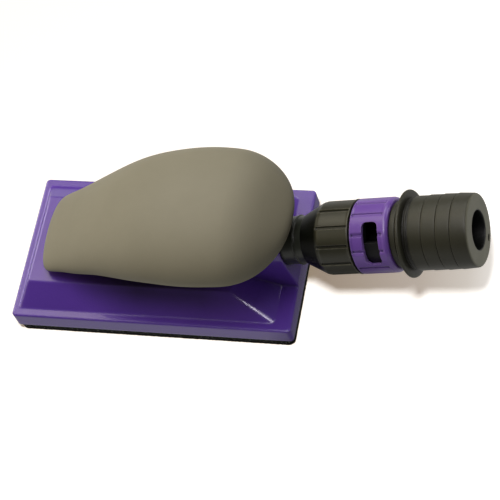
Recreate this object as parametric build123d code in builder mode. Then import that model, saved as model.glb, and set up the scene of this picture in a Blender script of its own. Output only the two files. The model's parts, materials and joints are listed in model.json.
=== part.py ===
from build123d import *
from math import cos, sin, radians, pi
import os

# Hand sanding block with dust extraction: a 70 x 127 mm foam-faced block, a soft palm grip
# and a swivelling hose connector with a bleed-air regulator ring.
# Origin: centre of the block's rubbing face. +Z up, +X (right) towards the hose, front is -Y.
# Millimetres and degrees. Along the hose, s is the distance from HOSE_ORIGIN.

# ------------------------------------------------------------------ block
LENGTH = 127.0            # along X
WIDTH = 70.0              # along Y

HOOK_T = 1.5              # hook-and-loop sheet
FOAM_T = 3.1              # foam interface
PLATE_T = 3.0             # perforated backing plate
SEAL_T = 1.0              # foam tape between plate and shell
PAD_R = 3.0               # pad corner radius
PAD_INSET = 0.5           # pad edge inside the shell's edge
DUST_R = 4.5              # dust hole radius
DUST_PITCH_X = 28.0
DUST_PITCH_Y = 34.0
PLATE_INSET = 3.2         # plate edge inside the shell's edge
RIB_W, RIB_H = 1.6, 2.0   # ribs on the backing plate
CROSS_RIB_L, LONG_RIB_L = 26, 84
PLATE_HOLE_R = 1.6
PLATE_SINK_R, PLATE_SINK_H = 2.9, 1.5     # countersink

SKIRT_Z = 4.9             # lower edge of the shell's skirt
FLANGE_Z = 13.4           # top of the flat flange
SHELL_R = 1.8             # vertical corner radius of the shell
WALL = 2.4                # shell wall

# raised deck: a shallow pyramid with different slopes left, right, and front and back
DECK_X0, DECK_X1 = -60.4, 56.3      # foot of the slopes
DECK_Y = 31.2
DECK_H = 7.8
TOP_X0, TOP_X1 = -56.3, 36.5        # edge of the flat deck top
TOP_Y = 21.4

PLATE_SCREWS = [(-48.0, 18.0), (-48.0, -18.0), (0.0, 25.0), (0.0, -25.0),
                (46.0, 24.0), (46.0, -24.0)]
COLUMN_R = 3.4            # columns for the plate screws

# ------------------------------------------------------------------ duct housing
TILT = 11.3               # hose axis above the horizontal
HOSE_ORIGIN = (LENGTH / 2, 0.0, 30.8)

DUCT_R = 11.5             # arch radius
DUCT_FOOT_Y = 12.8        # half-width at the foot
DUCT_FOOT_U = -17.4       # foot, measured across the hose axis
DUCT_LEN = 32.0           # length along the hose axis
DUCT_END_WALL = 2.6       # left solid at the inner end of the duct
FACE_S = -3.17            # end face
SEAT_LEN = 12.0           # depth of the neck tube's seat
ELBOW_X0, ELBOW_X1 = 34.5, 47.6     # opening from the chamber up into the duct
ELBOW_TOP = 26.0
NECK_SCREW = [(54.2, 0.0)]

# ------------------------------------------------------------------ palm grip
# stations: x, half width, mid height, height above mid, depth below mid
GRIP = [
    (-50.5, 7.6, 23.9, 2.3, 0.5),
    (-49.9, 12.4, 24.3, 3.7, 0.9),
    (-48.8, 15.8, 24.9, 4.8, 1.3),
    (-47.0, 17.9, 25.8, 5.6, 1.6),
    (-44.6, 19.0, 26.9, 6.3, 2.0),
    (-41.5, 19.8, 28.2, 7.1, 2.4),
    (-36.0, 20.9, 30.3, 8.5, 3.0),
    (-28.0, 23.0, 33.7, 10.5, 4.3),
    (-18.0, 25.3, 38.5, 12.2, 6.0),
    (-6.0, 28.7, 42.9, 13.8, 7.0),
    (6.0, 31.0, 45.5, 14.8, 7.6),
    (18.0, 32.6, 46.9, 15.3, 7.7),
    (30.0, 33.1, 47.4, 15.7, 5.5),
    (40.0, 32.5, 47.3, 15.9, 3.6),
    (47.5, 30.5, 46.9, 15.2, 3.2),
    (53.5, 27.0, 47.0, 13.1, 3.4),
    (58.5, 22.3, 47.7, 10.1, 3.5),
    (62.2, 17.1, 48.6, 6.9, 3.2),
    (64.8, 11.5, 49.6, 4.1, 2.5),
    (66.0, 7.1, 50.1, 2.3, 1.6),
]
SKIN_T = 2.2              # soft skin
CORE_T = 2.4              # wall of the hard core
GRIP_GAP = 0.3            # between skin and core
PED_X0, PED_X1 = -42.0, 25.8        # pedestal of the grip
PED_Y = 11.5
PED_R = 8.0
PED_STEP = 16.0           # the upper tier starts this much further right
PED_TOP = 42.0
PED_GAP = 0.15            # skin clear of the pedestal
GRIP_SCREWS = [(-32.0, 5.2), (-32.0, -5.2), (16.0, 5.2), (16.0, -5.2)]
GRIP_COLUMN_R = 3.7
GRIP_PILOT_R = 1.8
WASHER_T = 0.8
WASHER_R, WASHER_HOLE_R = 4.5, 2.2

# ------------------------------------------------------------------ hose connector
PLAY = 0.05               # end play between neighbouring turned parts
SNUG = 0.03               # radial fit of tubes in their seats
NECK_R = 10.1             # neck tube
NECK_BORE = 8.0
SPIGOT_R = 9.8            # neck tube inside the coupling tube
COLLAR_R = 11.9           # collar that carries the swivel
COLLAR_S0, COLLAR_S1 = 11.65, 13.9
SLIP_T = 0.55             # slip rings on both sides of the collar
NECK_SEAL_S, NECK_GROOVE_W = -5.8, 1.6
SWIVEL_SEAL_S = 17.7
REGULATOR_SEALS_S = (32.7, 46.2)
GROOVE_W = 1.4            # swivel and regulator seal grooves
NECK_FLOOR_R = 8.7        # groove floors
TUBE_FLOOR_R = 12.2

LOBES = 6                 # broad finger lobes on the nut and on the ring
LOBE_PITCH = 360 / LOBES
NUT_R = 15.7              # coupling nut, over its lobes
NUT_BORE = 13.95
NUT_LIP_R = 10.35         # opening at the end towards the block
NUT_S0, NUT_S1, NUT_S2 = 7.0, 15.8, 30.5        # small end, end of the cone, large end
NUT_A, NUT_GAP, NUT_STEP = 31.75, 28.5, 0.6     # first lobe, gap between lobes, step
LUGS = 3                  # bayonet lugs, on the nut and on the tube
LUG_PITCH = 360 / LUGS
LUG_W = 40.0              # angular width of each lug
LUG_LEN = 3.0             # along the hose
NUT_LUG_S, NUT_LUG_R0, NUT_LUG_R1 = 23.1, 12.85, 14.2
TUBE_LUG_S, TUBE_LUG_R0, TUBE_LUG_R1 = 20.0, 12.3, 13.8

RING_S0, RING_S1 = 31.1, 47.9
RING_R = 15.65            # regulator ring, over its lobes
RING_PLAY = 0.07          # radial play on the coupling tube
RING_A, RING_GAP, RING_STEP = 12.5, 34.0, 0.4
SLOT_S = 40.2             # centre of the bleed slot
SLOT_W = 7.0
SLOT_R = 2.1              # corner radius
SLOT_A0, SLOT_A1 = 9.6, 79.6        # slot, from straight up towards the front
WINDOW_A0, WINDOW_A1 = -26.8, 43.2  # bleed window in the tube under it
TURN_MIN, TURN_MAX = -36.4, 37.0    # travel of the regulator ring
STOP_A = 200.0            # angle of the ring's stop key
KEY_HALF_A, STOP_HALF_A = 6.0, 6.5  # half-width of the key and of its space in the groove
KEY_W, STOP_GROOVE_W = 1.8, 2.2     # along the hose

TUBE_R = 13.35            # coupling tube under the regulator ring
TAIL_R = 11.8             # coupling tube inside the hose adapter
BUMP_H = 0.6              # snap bead on the tail
BORE_R = 8.1              # bore of the adapter's outlet
ADAPTER_FLANGE_R = 18.25
# barbs of the hose barrel: start, end, radius at the start and at the end
BARBS = [
    (56.8, 62.2, 15.5, 15.35),
    (62.6, 68.4, 15.75, 15.5),
    (68.8, 74.5, 15.8, 15.5),
    (74.9, 81.1, 15.8, 15.3),
]
BARB_RUN, BARB_STEP = 0.3, 0.75     # lead-in of each barb, along and across
END_S = 81.8

# ------------------------------------------------------------------ derived geometry
DECK_Z = FLANGE_Z + DECK_H
CEILING_Z = DECK_Z - WALL
PLATE_Z = HOOK_T + FOAM_T
SEAL_Z = PLATE_Z + PLATE_T
LEDGE_Z = SEAL_Z + SEAL_T
PAD_L, PAD_W = LENGTH - 2 * PAD_INSET, WIDTH - 2 * PAD_INSET
PLATE_L, PLATE_W = LENGTH - 2 * PLATE_INSET, WIDTH - 2 * PLATE_INSET
SEAT_S = FACE_S - SEAT_LEN
TUBE_S0 = COLLAR_S1 + SLIP_T + 2 * PLAY
HOSE_DIR = (cos(radians(TILT)), 0.0, sin(radians(TILT)))
ACROSS_DIR = (-HOSE_DIR[2], 0.0, HOSE_DIR[0])   # square to the hose, upwards
HOSE_AXIS = Axis(HOSE_ORIGIN, HOSE_DIR)
# half-profiles of turned parts are drawn here as (s, radius)
HOSE_PROFILE = Plane(origin=HOSE_ORIGIN, x_dir=HOSE_DIR, z_dir=(0, -1, 0))


# ------------------------------------------------------------------ helpers
# The outline helpers draw into whichever sketch or line block is open.
def along(s):
    """Point on the hose axis, s mm from its origin."""
    return (HOSE_ORIGIN[0] + HOSE_DIR[0] * s, 0.0, HOSE_ORIGIN[2] + HOSE_DIR[2] * s)


def station(s):
    """Plane across the hose at s: local x points up, local y towards the front."""
    return Plane(origin=along(s), x_dir=ACROSS_DIR, z_dir=HOSE_DIR)


def on_arc(radius, angle):
    """Point at a radius and angle in a plane across the hose."""
    return (radius * cos(radians(angle)), radius * sin(radians(angle)))


def sector(r0, r1, a0, a1, flare=0):
    """Ring sector outline; flare widens its outer arc at both ends."""
    middle = (a0 + a1) / 2
    outer0, outer1 = on_arc(r1, a0 - flare), on_arc(r1, a1 + flare)
    Line(on_arc(r0, a0), outer0)
    ThreePointArc(outer0, on_arc(r1, middle), outer1)
    Line(outer1, on_arc(r0, a1))
    ThreePointArc(on_arc(r0, a1), on_arc(r0, middle), on_arc(r0, a0))


def flute(index, tip_r, step, first, gap):
    """Outline of the flute that follows lobe number index."""
    middle = first + LOBE_PITCH / 2 + LOBE_PITCH * index
    sector(tip_r - step, tip_r + 1, middle - gap / 2, middle + gap / 2, flare=1)


def lug(index, r0, r1):
    """Outline of bayonet lug number index."""
    middle = index * LUG_PITCH
    sector(r0, r1, middle - LUG_W / 2, middle + LUG_W / 2)


def groove(middle, width, floor, land):
    """Profile points of a square groove in a turned part."""
    s0, s1 = middle - width / 2, middle + width / 2
    return [(s0, land), (s0, floor), (s1, floor), (s1, land)]


def circles(places, radius):
    with Locations(*places):
        Circle(radius)


def rectangle_between(x0, x1, width):
    with Locations(((x0 + x1) / 2, 0)):
        Rectangle(x1 - x0, width)


def plate_outline(margin, radius, mode=Mode.ADD):
    """Backing plate outline, grown by margin on every side."""
    RectangleRounded(PLATE_L + 2 * margin, PLATE_W + 2 * margin, radius, mode=mode)


def cut_dust_holes():
    with GridLocations(DUST_PITCH_X, DUST_PITCH_Y, 4, 2):
        Circle(DUST_R, mode=Mode.SUBTRACT)


def pedestal_outline(margin=0.0, step=0.0):
    """Pedestal outline, grown by margin, with its left end moved right by step."""
    with Locations(((PED_X0 + PED_X1) / 2 + step / 2, 0)):
        RectangleRounded(PED_X1 - PED_X0 - step + 2 * margin, 2 * PED_Y + 2 * margin,
                         PED_R + margin)


def turned(*profile):
    """Solid of revolution about the hose axis from (s, radius) points."""
    with BuildPart() as piece:
        with BuildSketch(HOSE_PROFILE):
            with BuildLine():
                Polyline(*profile, close=True)
            make_face()
        revolve(axis=HOSE_AXIS)
    return piece.part


def slip_ring(s, inner_r):
    return turned((s, inner_r), (s, COLLAR_R), (s + SLIP_T, COLLAR_R), (s + SLIP_T, inner_r))


def o_rings(section_r, *centres):
    """O-rings about the hose axis, one for each (s, radius) centre."""
    with BuildPart() as piece:
        with BuildSketch(HOSE_PROFILE):
            circles(centres, section_r)
        revolve(axis=HOSE_AXIS)
    return piece.part


def screws(places, profile, cross_z, cross_l, cross_w, cross_depth):
    """Upright screws from (radius, z) points, with a cross recess cut up from cross_z."""
    with BuildPart() as piece:
        for x, y in places:
            with BuildSketch(Plane(origin=(x, y, 0), x_dir=(1, 0, 0), z_dir=(0, -1, 0))):
                with BuildLine():
                    Polyline(*profile, close=True)
                make_face()
            revolve(axis=Axis((x, y, 0), (0, 0, 1)))
        with BuildSketch(Plane.XY.offset(cross_z)):
            with Locations(*places):
                Rectangle(cross_l, cross_w)
                Rectangle(cross_w, cross_l)
        extrude(amount=cross_depth, mode=Mode.SUBTRACT)
    return piece.part


# ------------------------------------------------------------------ pad under the block
def build_pad_layer(z, thickness):
    with BuildPart() as layer:
        with BuildSketch(Plane.XY.offset(z)):
            RectangleRounded(PAD_L, PAD_W, PAD_R)
            cut_dust_holes()
        extrude(amount=thickness)
    return layer.part


def build_backing_plate():
    from_below = (Align.CENTER, Align.CENTER, Align.MIN)
    with BuildPart() as plate:
        with BuildSketch(Plane.XY.offset(PLATE_Z)):
            plate_outline(0, 2.5)
            cut_dust_holes()
        extrude(amount=PLATE_T)
        # low ribs that stiffen the plate and keep the air paths apart
        with BuildSketch(Plane.XY.offset(SEAL_Z)):
            with Locations((-DUST_PITCH_X, 0), (0, 0), (DUST_PITCH_X, 0)):
                Rectangle(RIB_W, CROSS_RIB_L)
            with Locations((0, 8), (0, -8)):
                Rectangle(LONG_RIB_L, RIB_W)
        extrude(amount=RIB_H)
        # countersunk screw holes
        with Locations(Plane.XY.offset(PLATE_Z)):
            with Locations(*PLATE_SCREWS):
                Cone(PLATE_SINK_R, PLATE_HOLE_R, PLATE_SINK_H, align=from_below,
                     mode=Mode.SUBTRACT)
                Cylinder(PLATE_HOLE_R, PLATE_T, align=from_below, mode=Mode.SUBTRACT)
    return plate.part


def build_plate_seal():
    with BuildPart() as seal:
        with BuildSketch(Plane.XY.offset(SEAL_Z)):
            plate_outline(-0.3, 2.3)
            plate_outline(-2.3, 1.5, mode=Mode.SUBTRACT)
        extrude(amount=SEAL_T)
    return seal.part


def build_plate_screws():
    head_z = PLATE_Z + 0.1
    tip_z = SEAL_Z + 6.8
    profile = [(0, head_z), (2.75, head_z), (1.5, PLATE_Z + 1.42),
               (1.5, tip_z - 0.8), (0.5, tip_z), (0, tip_z)]
    return screws(PLATE_SCREWS, profile, cross_z=PLATE_Z,
                  cross_l=3.0, cross_w=0.6, cross_depth=0.8)


# ------------------------------------------------------------------ base shell
def build_chamber():
    """Hollow of the base shell."""
    with BuildPart() as chamber:
        # recess that takes the backing plate
        with BuildSketch(Plane.XY.offset(SKIRT_Z - 1)):
            plate_outline(0.3, 2.7)
        extrude(amount=LEDGE_Z - SKIRT_Z + 1)
        # room under the flange
        with BuildSketch(Plane.XY.offset(LEDGE_Z - 0.5)):
            plate_outline(-2.2, 1.5)
        extrude(amount=FLANGE_Z - WALL - LEDGE_Z + 0.5)
        # room under the deck
        with BuildSketch(Plane.XY.offset(FLANGE_Z - WALL - 0.01)):
            rectangle_between(DECK_X0 + 2.5, DECK_X1 - 2.5, 2 * DECK_Y - 5.0)
        with BuildSketch(Plane.XY.offset(CEILING_Z)):
            rectangle_between(TOP_X0 + 2.0, TOP_X1 - 2.0, 2 * TOP_Y - 3.6)
        loft()
        # columns that take the plate screws are left standing
        with BuildSketch(Plane.XY.offset(SEAL_Z)):
            circles(PLATE_SCREWS, COLUMN_R)
        extrude(amount=20, mode=Mode.SUBTRACT)
    return chamber.part


def build_deck():
    """Raised deck with softened ridges."""
    with BuildPart() as deck:
        with BuildSketch(Plane.XY.offset(FLANGE_Z)):
            rectangle_between(DECK_X0, DECK_X1, 2 * DECK_Y)
        with BuildSketch(Plane.XY.offset(DECK_Z)):
            rectangle_between(TOP_X0, TOP_X1, 2 * TOP_Y)
        loft()
        # sloping ridges: broad on the right, tight on the left
        hips = [e for e in deck.edges() if abs(e.tangent_at(0.5).Z) > 0.1]
        fillet([e for e in hips if e.center().X > 0], 4.0)
        fillet([e for e in deck.edges() if abs(e.tangent_at(0.5).Z) > 0.1
                and e.center().X < 0 and e.length > 5], 1.2)
        # rim of the flat top
        fillet([e for e in deck.edges() if e.center().Z > DECK_Z - 0.05], 1.0)
    return deck.part


def build_base_shell():
    deck = build_deck()
    chamber = build_chamber()
    # start z, places, radius, depth
    upright_holes = [
        (CEILING_Z - 2, GRIP_SCREWS, 2.25, 8),    # clearance for the grip screws
        (LEDGE_Z - 1, NECK_SCREW, 1.6, 12),       # neck screw, from below
        (LEDGE_Z - 1, NECK_SCREW, 3.0, 3.6),      # its head
        (SEAL_Z - 1, PLATE_SCREWS, 1.55, 8),      # pilot holes in the columns
    ]
    with BuildPart() as shell:
        with BuildSketch(Plane.XY.offset(SKIRT_Z)):
            RectangleRounded(LENGTH, WIDTH, SHELL_R)
        extrude(amount=FLANGE_Z - SKIRT_Z)
        fillet(shell.edges().group_by(Axis.Z)[-1], 0.7)
        add(deck)
        # soft inner corner where the deck rises from the flange
        fillet([e for e in shell.edges() if abs(e.center().Z - FLANGE_Z) < 0.02
                and abs(e.tangent_at(0.5).Z) < 0.01
                and abs(e.center().X) < 60.9 and abs(e.center().Y) < 31.6], 1.1)
        # duct housing: an arch extruded back along the hose axis from its sloping end face
        with BuildSketch(station(FACE_S)):
            with BuildLine():
                Line((0, DUCT_R), (DUCT_FOOT_U, DUCT_FOOT_Y))
                Line((DUCT_FOOT_U, DUCT_FOOT_Y), (DUCT_FOOT_U, -DUCT_FOOT_Y))
                Line((DUCT_FOOT_U, -DUCT_FOOT_Y), (0, -DUCT_R))
                ThreePointArc((0, -DUCT_R), (DUCT_R, 0), (0, DUCT_R))
            make_face()
        extrude(amount=-DUCT_LEN)
        # trim the housing's foot flush with the block's right-hand end
        with BuildSketch(Plane.XY):
            rectangle_between(LENGTH / 2, LENGTH / 2 + 10, WIDTH)
        extrude(amount=60, mode=Mode.SUBTRACT)
        # edges of the housing's end face
        face_point, face_normal = Vector(*along(FACE_S)), Vector(*HOSE_DIR)
        fillet([e for e in shell.edges() if e.center().Z > FLANGE_Z + 2
                and abs((e.center() - face_point).dot(face_normal)) < 0.05], 0.5)
        add(chamber, mode=Mode.SUBTRACT)
        # seat of the neck tube, cut from 1 mm outside the end face
        with BuildSketch(station(FACE_S + 1)):
            Circle(NECK_R + SNUG)
        extrude(amount=-(1 + SEAT_LEN + PLAY), mode=Mode.SUBTRACT)
        # air duct behind it
        with BuildSketch(station(FACE_S)):
            Circle(NECK_BORE)
        extrude(amount=-DUCT_LEN + DUCT_END_WALL, mode=Mode.SUBTRACT)
        # elbow down into the chamber
        with BuildSketch(Plane.XY.offset(LEDGE_Z)):
            rectangle_between(ELBOW_X0, ELBOW_X1, 2 * NECK_BORE - 0.4)
        extrude(amount=ELBOW_TOP - LEDGE_Z, mode=Mode.SUBTRACT)
        for z, places, radius, depth in upright_holes:
            with BuildSketch(Plane.XY.offset(z)):
                circles(places, radius)
            extrude(amount=depth, mode=Mode.SUBTRACT)
    return shell.part


# ------------------------------------------------------------------ palm grip
def oval(half_width, above, below, mid_z, power_above=2.05, power_below=2.7, count=28):
    """Points of a closed super-ellipse section, as (y, z)."""
    points = []
    for i in range(count):
        angle = 2 * pi * i / count
        c, s = cos(angle), sin(angle)
        power = power_above if s >= 0 else power_below
        across = (abs(c) ** (2 / power)) * (1 if c >= 0 else -1)
        upward = (abs(s) ** (2 / power)) * (1 if s >= 0 else -1)
        height = above if s >= 0 else below
        points.append((half_width * across, mid_z + height * upward))
    return points


def grip_sections(inset):
    """Grip sections shrunk by inset on every side, and shortened at both ends."""
    start, end = GRIP[0][0], GRIP[-1][0]
    x0, x1 = start + inset, end - inset * 1.6
    # least size of a section, so that the thin ends don't vanish
    thin = max(0.6 - 0.9 * (inset - SKIN_T), 0.15)
    sections = []
    for x, half_width, mid_z, above, below in GRIP:
        sections.append((
            x0 + (x - start) * (x1 - x0) / (end - start),
            max(half_width - inset, 2.0 + thin),
            mid_z,
            max(above - inset, 0.4 + thin),
            max(below - inset, thin),
        ))
    return sections


def build_grip_body(sections):
    """Solid lofted through grip sections."""
    with BuildPart() as body:
        for x, half_width, mid_z, above, below in sections:
            with BuildSketch(Plane(origin=(x, 0, 0), x_dir=(0, 1, 0), z_dir=(1, 0, 0))):
                with BuildLine():
                    Spline(*oval(half_width, above, below, mid_z), periodic=True)
                make_face()
        loft()
    return body.part


def build_grip_skin():
    outside = build_grip_body(GRIP)
    inside = build_grip_body(grip_sections(SKIN_T))
    with BuildPart() as skin:
        add(outside)
        add(inside, mode=Mode.SUBTRACT)
        # opening for both tiers of the pedestal
        with BuildSketch(Plane.XY.offset(DECK_Z - 1)):
            pedestal_outline(PED_GAP)
        extrude(amount=11.3, mode=Mode.SUBTRACT)
        with BuildSketch(Plane.XY.offset(DECK_Z + 6)):
            pedestal_outline(PED_GAP, PED_STEP)
        extrude(amount=14.5, mode=Mode.SUBTRACT)
    return skin.part


def build_core_hollow():
    body = build_grip_body(grip_sections(SKIN_T + GRIP_GAP + CORE_T)[2:-2])
    with BuildPart() as hollow:
        add(body)
        with BuildSketch(Plane.XY.offset(DECK_Z - 1)):
            pedestal_outline(-CORE_T)
        extrude(amount=PED_TOP - DECK_Z - 12)
        # screw columns stay standing
        with BuildSketch(Plane.XY.offset(DECK_Z - 1)):
            circles(GRIP_SCREWS, GRIP_COLUMN_R)
        extrude(amount=15, mode=Mode.SUBTRACT)
    return hollow.part


def build_grip_core():
    body = build_grip_body(grip_sections(SKIN_T + GRIP_GAP)[1:-1])
    hollow = build_core_hollow()
    with BuildPart() as core:
        add(body)
        # two-tier pedestal that stands on the deck
        with BuildSketch(Plane.XY.offset(DECK_Z + 0.02)):
            pedestal_outline()
        extrude(amount=8)
        with BuildSketch(Plane.XY.offset(DECK_Z + 7)):
            pedestal_outline(step=PED_STEP)
        extrude(amount=13)
        add(hollow, mode=Mode.SUBTRACT)
        # pilot holes
        with BuildSketch(Plane.XY.offset(DECK_Z - 1)):
            circles(GRIP_SCREWS, GRIP_PILOT_R)
        extrude(amount=13.2, mode=Mode.SUBTRACT)
    return core.part


def build_grip_washers():
    with BuildPart() as washers:
        with BuildSketch(Plane.XY.offset(CEILING_Z - WASHER_T - 0.02)):
            with Locations(*GRIP_SCREWS):
                Circle(WASHER_R)
                Circle(WASHER_HOLE_R, mode=Mode.SUBTRACT)
        extrude(amount=WASHER_T)
    return washers.part


def build_grip_screws():
    seat_z = CEILING_Z - WASHER_T - 0.04      # top of the head, under the washer
    head_z = seat_z - 2.4
    tip_z = seat_z + 14.2
    profile = [(0, head_z), (2.6, head_z), (3.5, head_z + 0.8), (3.5, seat_z), (1.75, seat_z),
               (1.75, tip_z - 1.0), (0.7, tip_z), (0, tip_z)]
    return screws(GRIP_SCREWS, profile, cross_z=head_z,
                  cross_l=3.6, cross_w=0.8, cross_depth=1.2)


# ------------------------------------------------------------------ neck tube and its screw
def build_neck_tube():
    with BuildPart() as tube:
        with BuildSketch(HOSE_PROFILE):
            with BuildLine():
                Polyline(
                    (SEAT_S, NECK_BORE), (SEAT_S, NECK_R - 0.4), (SEAT_S + 0.4, NECK_R),
                    *groove(NECK_SEAL_S, NECK_GROOVE_W, NECK_FLOOR_R, NECK_R),
                    # small bead
                    (2.9, NECK_R), (3.1, NECK_R + 0.5), (3.6, NECK_R + 0.5), (3.8, NECK_R),
                    # collar
                    (COLLAR_S0, NECK_R), (COLLAR_S0, COLLAR_R),
                    (COLLAR_S1, COLLAR_R), (COLLAR_S1, SPIGOT_R),
                    *groove(SWIVEL_SEAL_S, GROOVE_W, NECK_FLOOR_R, SPIGOT_R),
                    (20.6, SPIGOT_R), (21.0, SPIGOT_R - 0.4), (21.0, NECK_BORE), close=True)
            make_face()
        revolve(axis=HOSE_AXIS)
        # blind pilot for the neck screw
        with BuildSketch(Plane.XY.offset(14)):
            circles(NECK_SCREW, 1.4)
        extrude(amount=6.4, mode=Mode.SUBTRACT)
    return tube.part


def build_neck_screw():
    head_z = LEDGE_Z + 0.2
    seat_z = head_z + 2.3
    tip_z = head_z + 11.2
    profile = [(0, head_z), (2.1, head_z), (2.7, head_z + 0.6), (2.7, seat_z), (1.35, seat_z),
               (1.35, tip_z - 0.8), (0.6, tip_z), (0, tip_z)]
    return screws(NECK_SCREW, profile, cross_z=head_z,
                  cross_l=3.0, cross_w=0.7, cross_depth=1.0)


# ------------------------------------------------------------------ coupling nut (bayonet)
def build_coupling_nut():
    with BuildPart() as nut:
        with BuildSketch(HOSE_PROFILE):
            with BuildLine():
                Polyline(
                    (NUT_S0, NUT_LIP_R), (NUT_S0, 11.0), (NUT_S1 - 0.4, NUT_R - 0.15),
                    (NUT_S1 + 0.6, NUT_R), (NUT_S2 - 0.5, NUT_R), (NUT_S2, NUT_R - 0.5),
                    (NUT_S2, NUT_BORE), (17.0, NUT_BORE), (16.4, 12.1), (11.0, 12.1),
                    (11.0, NUT_LIP_R), close=True)
            make_face()
        revolve(axis=HOSE_AXIS)
        # broad shallow flutes between the lobes, running out on the cone
        for k in range(LOBES):
            with BuildSketch(station(NUT_S0 + 4)):
                with BuildLine():
                    flute(k, NUT_R, NUT_STEP, NUT_A, NUT_GAP)
                make_face()
            extrude(amount=NUT_S2 - NUT_S0, mode=Mode.SUBTRACT)
        # bayonet lugs inside
        for k in range(LUGS):
            with BuildSketch(station(NUT_LUG_S)):
                with BuildLine():
                    lug(k, NUT_LUG_R0, NUT_LUG_R1)
                make_face()
            extrude(amount=LUG_LEN)
    return nut.part


# ------------------------------------------------------------------ coupling tube
def build_coupling_tube():
    first_seal, last_seal = REGULATOR_SEALS_S
    flange_s0, flange_s1 = NUT_S2 + PLAY, RING_S0 - PLAY    # between nut and ring
    shoulder_s = RING_S1 + PLAY
    with BuildPart() as tube:
        with BuildSketch(HOSE_PROFILE):
            with BuildLine():
                Polyline(
                    (TUBE_S0, 9.9), (TUBE_S0, COLLAR_R), (17.2, COLLAR_R), (17.6, 12.6),
                    (flange_s0, 12.6), (flange_s0, 14.3), (flange_s1, 14.3), (flange_s1, TUBE_R),
                    *groove(first_seal, GROOVE_W, TUBE_FLOOR_R, TUBE_R),
                    *groove(last_seal, GROOVE_W, TUBE_FLOOR_R, TUBE_R),
                    (shoulder_s, TUBE_R), (shoulder_s, TAIL_R),
                    # snap bead
                    (52.0, TAIL_R), (52.3, TAIL_R + BUMP_H), (53.2, TAIL_R + BUMP_H),
                    (54.0, TAIL_R),
                    (59.2, TAIL_R), (59.5, TAIL_R - 0.3),
                    # bore, back towards the block
                    (59.5, 8.6), (49.6, 8.6), (48.0, 10.2), (23.5, 10.2), (21.6, 9.9), close=True)
            make_face()
        revolve(axis=HOSE_AXIS)
        # bayonet lugs outside
        for k in range(LUGS):
            with BuildSketch(station(TUBE_LUG_S)):
                with BuildLine():
                    lug(k, TUBE_LUG_R0, TUBE_LUG_R1)
                make_face()
            extrude(amount=LUG_LEN)
        # bleed window
        with BuildSketch(station(SLOT_S - SLOT_W / 2)):
            with BuildLine():
                sector(8.0, 15.0, WINDOW_A0, WINDOW_A1)
            make_face()
        extrude(amount=SLOT_W, mode=Mode.SUBTRACT)
        # groove whose ends stop the regulator ring
        with BuildSketch(station(SLOT_S - STOP_GROOVE_W / 2)):
            with BuildLine():
                sector(12.4, 14.0,
                       STOP_A - STOP_HALF_A + TURN_MIN, STOP_A + STOP_HALF_A + TURN_MAX)
            make_face()
        extrude(amount=STOP_GROOVE_W, mode=Mode.SUBTRACT)
    return tube.part


# ------------------------------------------------------------------ regulator ring
def build_regulator_ring():
    bore_r = TUBE_R + RING_PLAY
    slot_mid = radians((SLOT_A0 + SLOT_A1) / 2)
    slot_half = radians((SLOT_A1 - SLOT_A0) / 2)
    slot_dir = (ACROSS_DIR[0] * cos(slot_mid), -sin(slot_mid), ACROSS_DIR[2] * cos(slot_mid))
    with BuildPart() as ring:
        with BuildSketch(HOSE_PROFILE):
            with BuildLine():
                Polyline(
                    (RING_S0, bore_r), (RING_S0, RING_R - 0.4), (RING_S0 + 0.4, RING_R),
                    (RING_S1 - 1.5, RING_R), (RING_S1 - 0.75, RING_R - 0.2),
                    (RING_S1 - 0.25, RING_R - 0.6), (RING_S1, RING_R - 1.2),
                    (RING_S1, bore_r), close=True)
            make_face()
        revolve(axis=HOSE_AXIS)
        # shallow flutes between the lobes, stopping short of the ring's plain lips
        for k in range(LOBES):
            with BuildSketch(station(RING_S0 + 0.9)):
                with BuildLine():
                    flute(k, RING_R, RING_STEP, RING_A, RING_GAP)
                make_face()
            extrude(amount=RING_S1 - RING_S0 - 2.6, mode=Mode.SUBTRACT)
        # bleed slot, cut outwards from the axis
        with BuildSketch(Plane(origin=along(SLOT_S), x_dir=HOSE_DIR, z_dir=slot_dir)):
            RectangleRounded(SLOT_W, 2 * RING_R * sin(slot_half), SLOT_R)
        extrude(amount=20, mode=Mode.SUBTRACT)
        # stop key that runs in the tube's groove
        with BuildSketch(station(SLOT_S - KEY_W / 2)):
            with BuildLine():
                sector(12.55, 13.8, STOP_A - KEY_HALF_A, STOP_A + KEY_HALF_A)
            make_face()
        extrude(amount=KEY_W)
    return ring.part


# ------------------------------------------------------------------ hose adapter
def build_hose_adapter():
    socket_r = TAIL_R + SNUG
    bead_r = socket_r + BUMP_H
    profile = [
        # neck next to the regulator ring
        (48.02, socket_r), (48.02, 13.7), (48.4, 14.1), (50.4, 14.1), (50.6, 13.6),
        (51.0, 13.6), (51.2, 14.6), (51.7, 14.9), (52.0, 15.6),
        # rounded flange
        (52.1, 17.6), (52.35, 18.05), (52.75, ADAPTER_FLANGE_R), (53.25, ADAPTER_FLANGE_R),
        (53.75, 18.0), (54.0, 17.5), (54.2, 16.8), (54.6, 16.1), (55.2, 15.5),
        (55.9, 15.15), (56.5, 15.0),
    ]
    for s0, s1, r0, r1 in BARBS:
        profile += [(s0 - BARB_RUN, r0 - BARB_STEP), (s0, r0), (s1, r1)]
    profile += [
        # outlet, then the socket with its recess for the snap bead
        (END_S, 14.55), (END_S, BORE_R + 0.4), (END_S - 0.4, BORE_R), (60.2, BORE_R),
        (59.6, BORE_R + 0.4), (59.6, socket_r), (54.05, socket_r), (53.25, bead_r),
        (52.25, bead_r), (51.95, socket_r),
    ]
    return turned(*profile)


# ------------------------------------------------------------------ write the pieces
def save(name, part):
    part.label = name
    export_step(part, "parts/" + name + ".step")


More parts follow.
